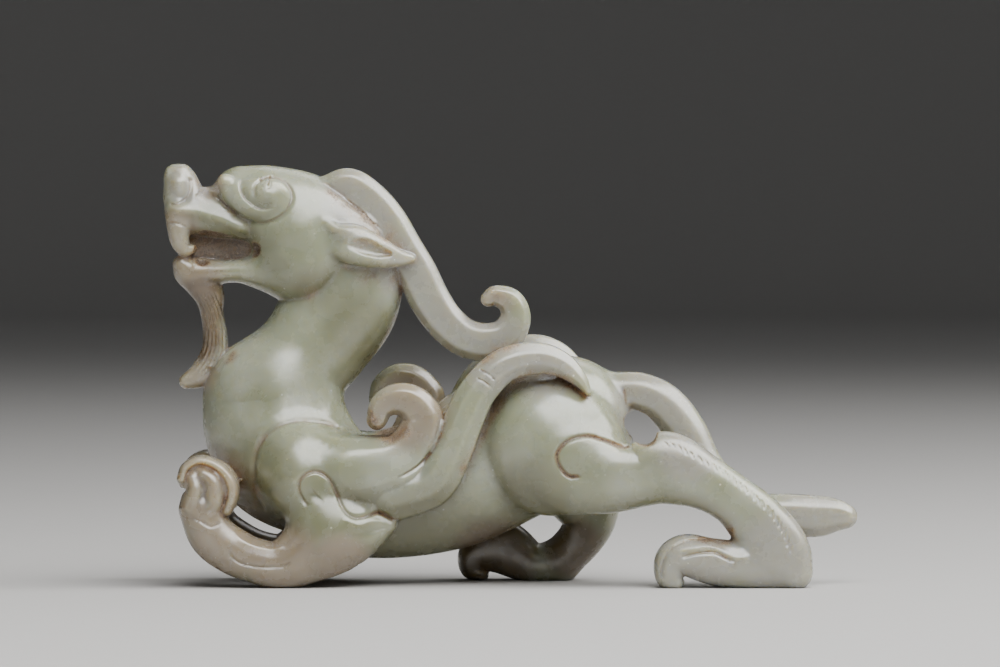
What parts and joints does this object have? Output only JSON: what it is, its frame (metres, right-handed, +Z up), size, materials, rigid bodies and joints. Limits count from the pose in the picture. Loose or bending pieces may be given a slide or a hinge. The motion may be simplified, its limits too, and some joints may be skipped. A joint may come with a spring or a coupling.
{
  "type": "jade mythical beast carving",
  "caption": "Carved jade mythical beast striding with raised horned head, side wings, upturned front paws, a hind leg stretched back and a long sweeping tail.",
  "frame": {"origin": "on the surface that the feet stand on, under the middle of the carving's box", "axes": "+X from the head towards the tail, +Y from the near flank, the one with the stretched hind leg, to the far flank, +Z up"},
  "size_m": [0.0866, 0.0262, 0.0523],
  "materials": {
    "jade": "polished, pale grey-green and slightly translucent, with brown staining in the cuts"
  },
  "bodies": {
    "root": {"jade_beast": "jade"}
  },
  "joints": []
}
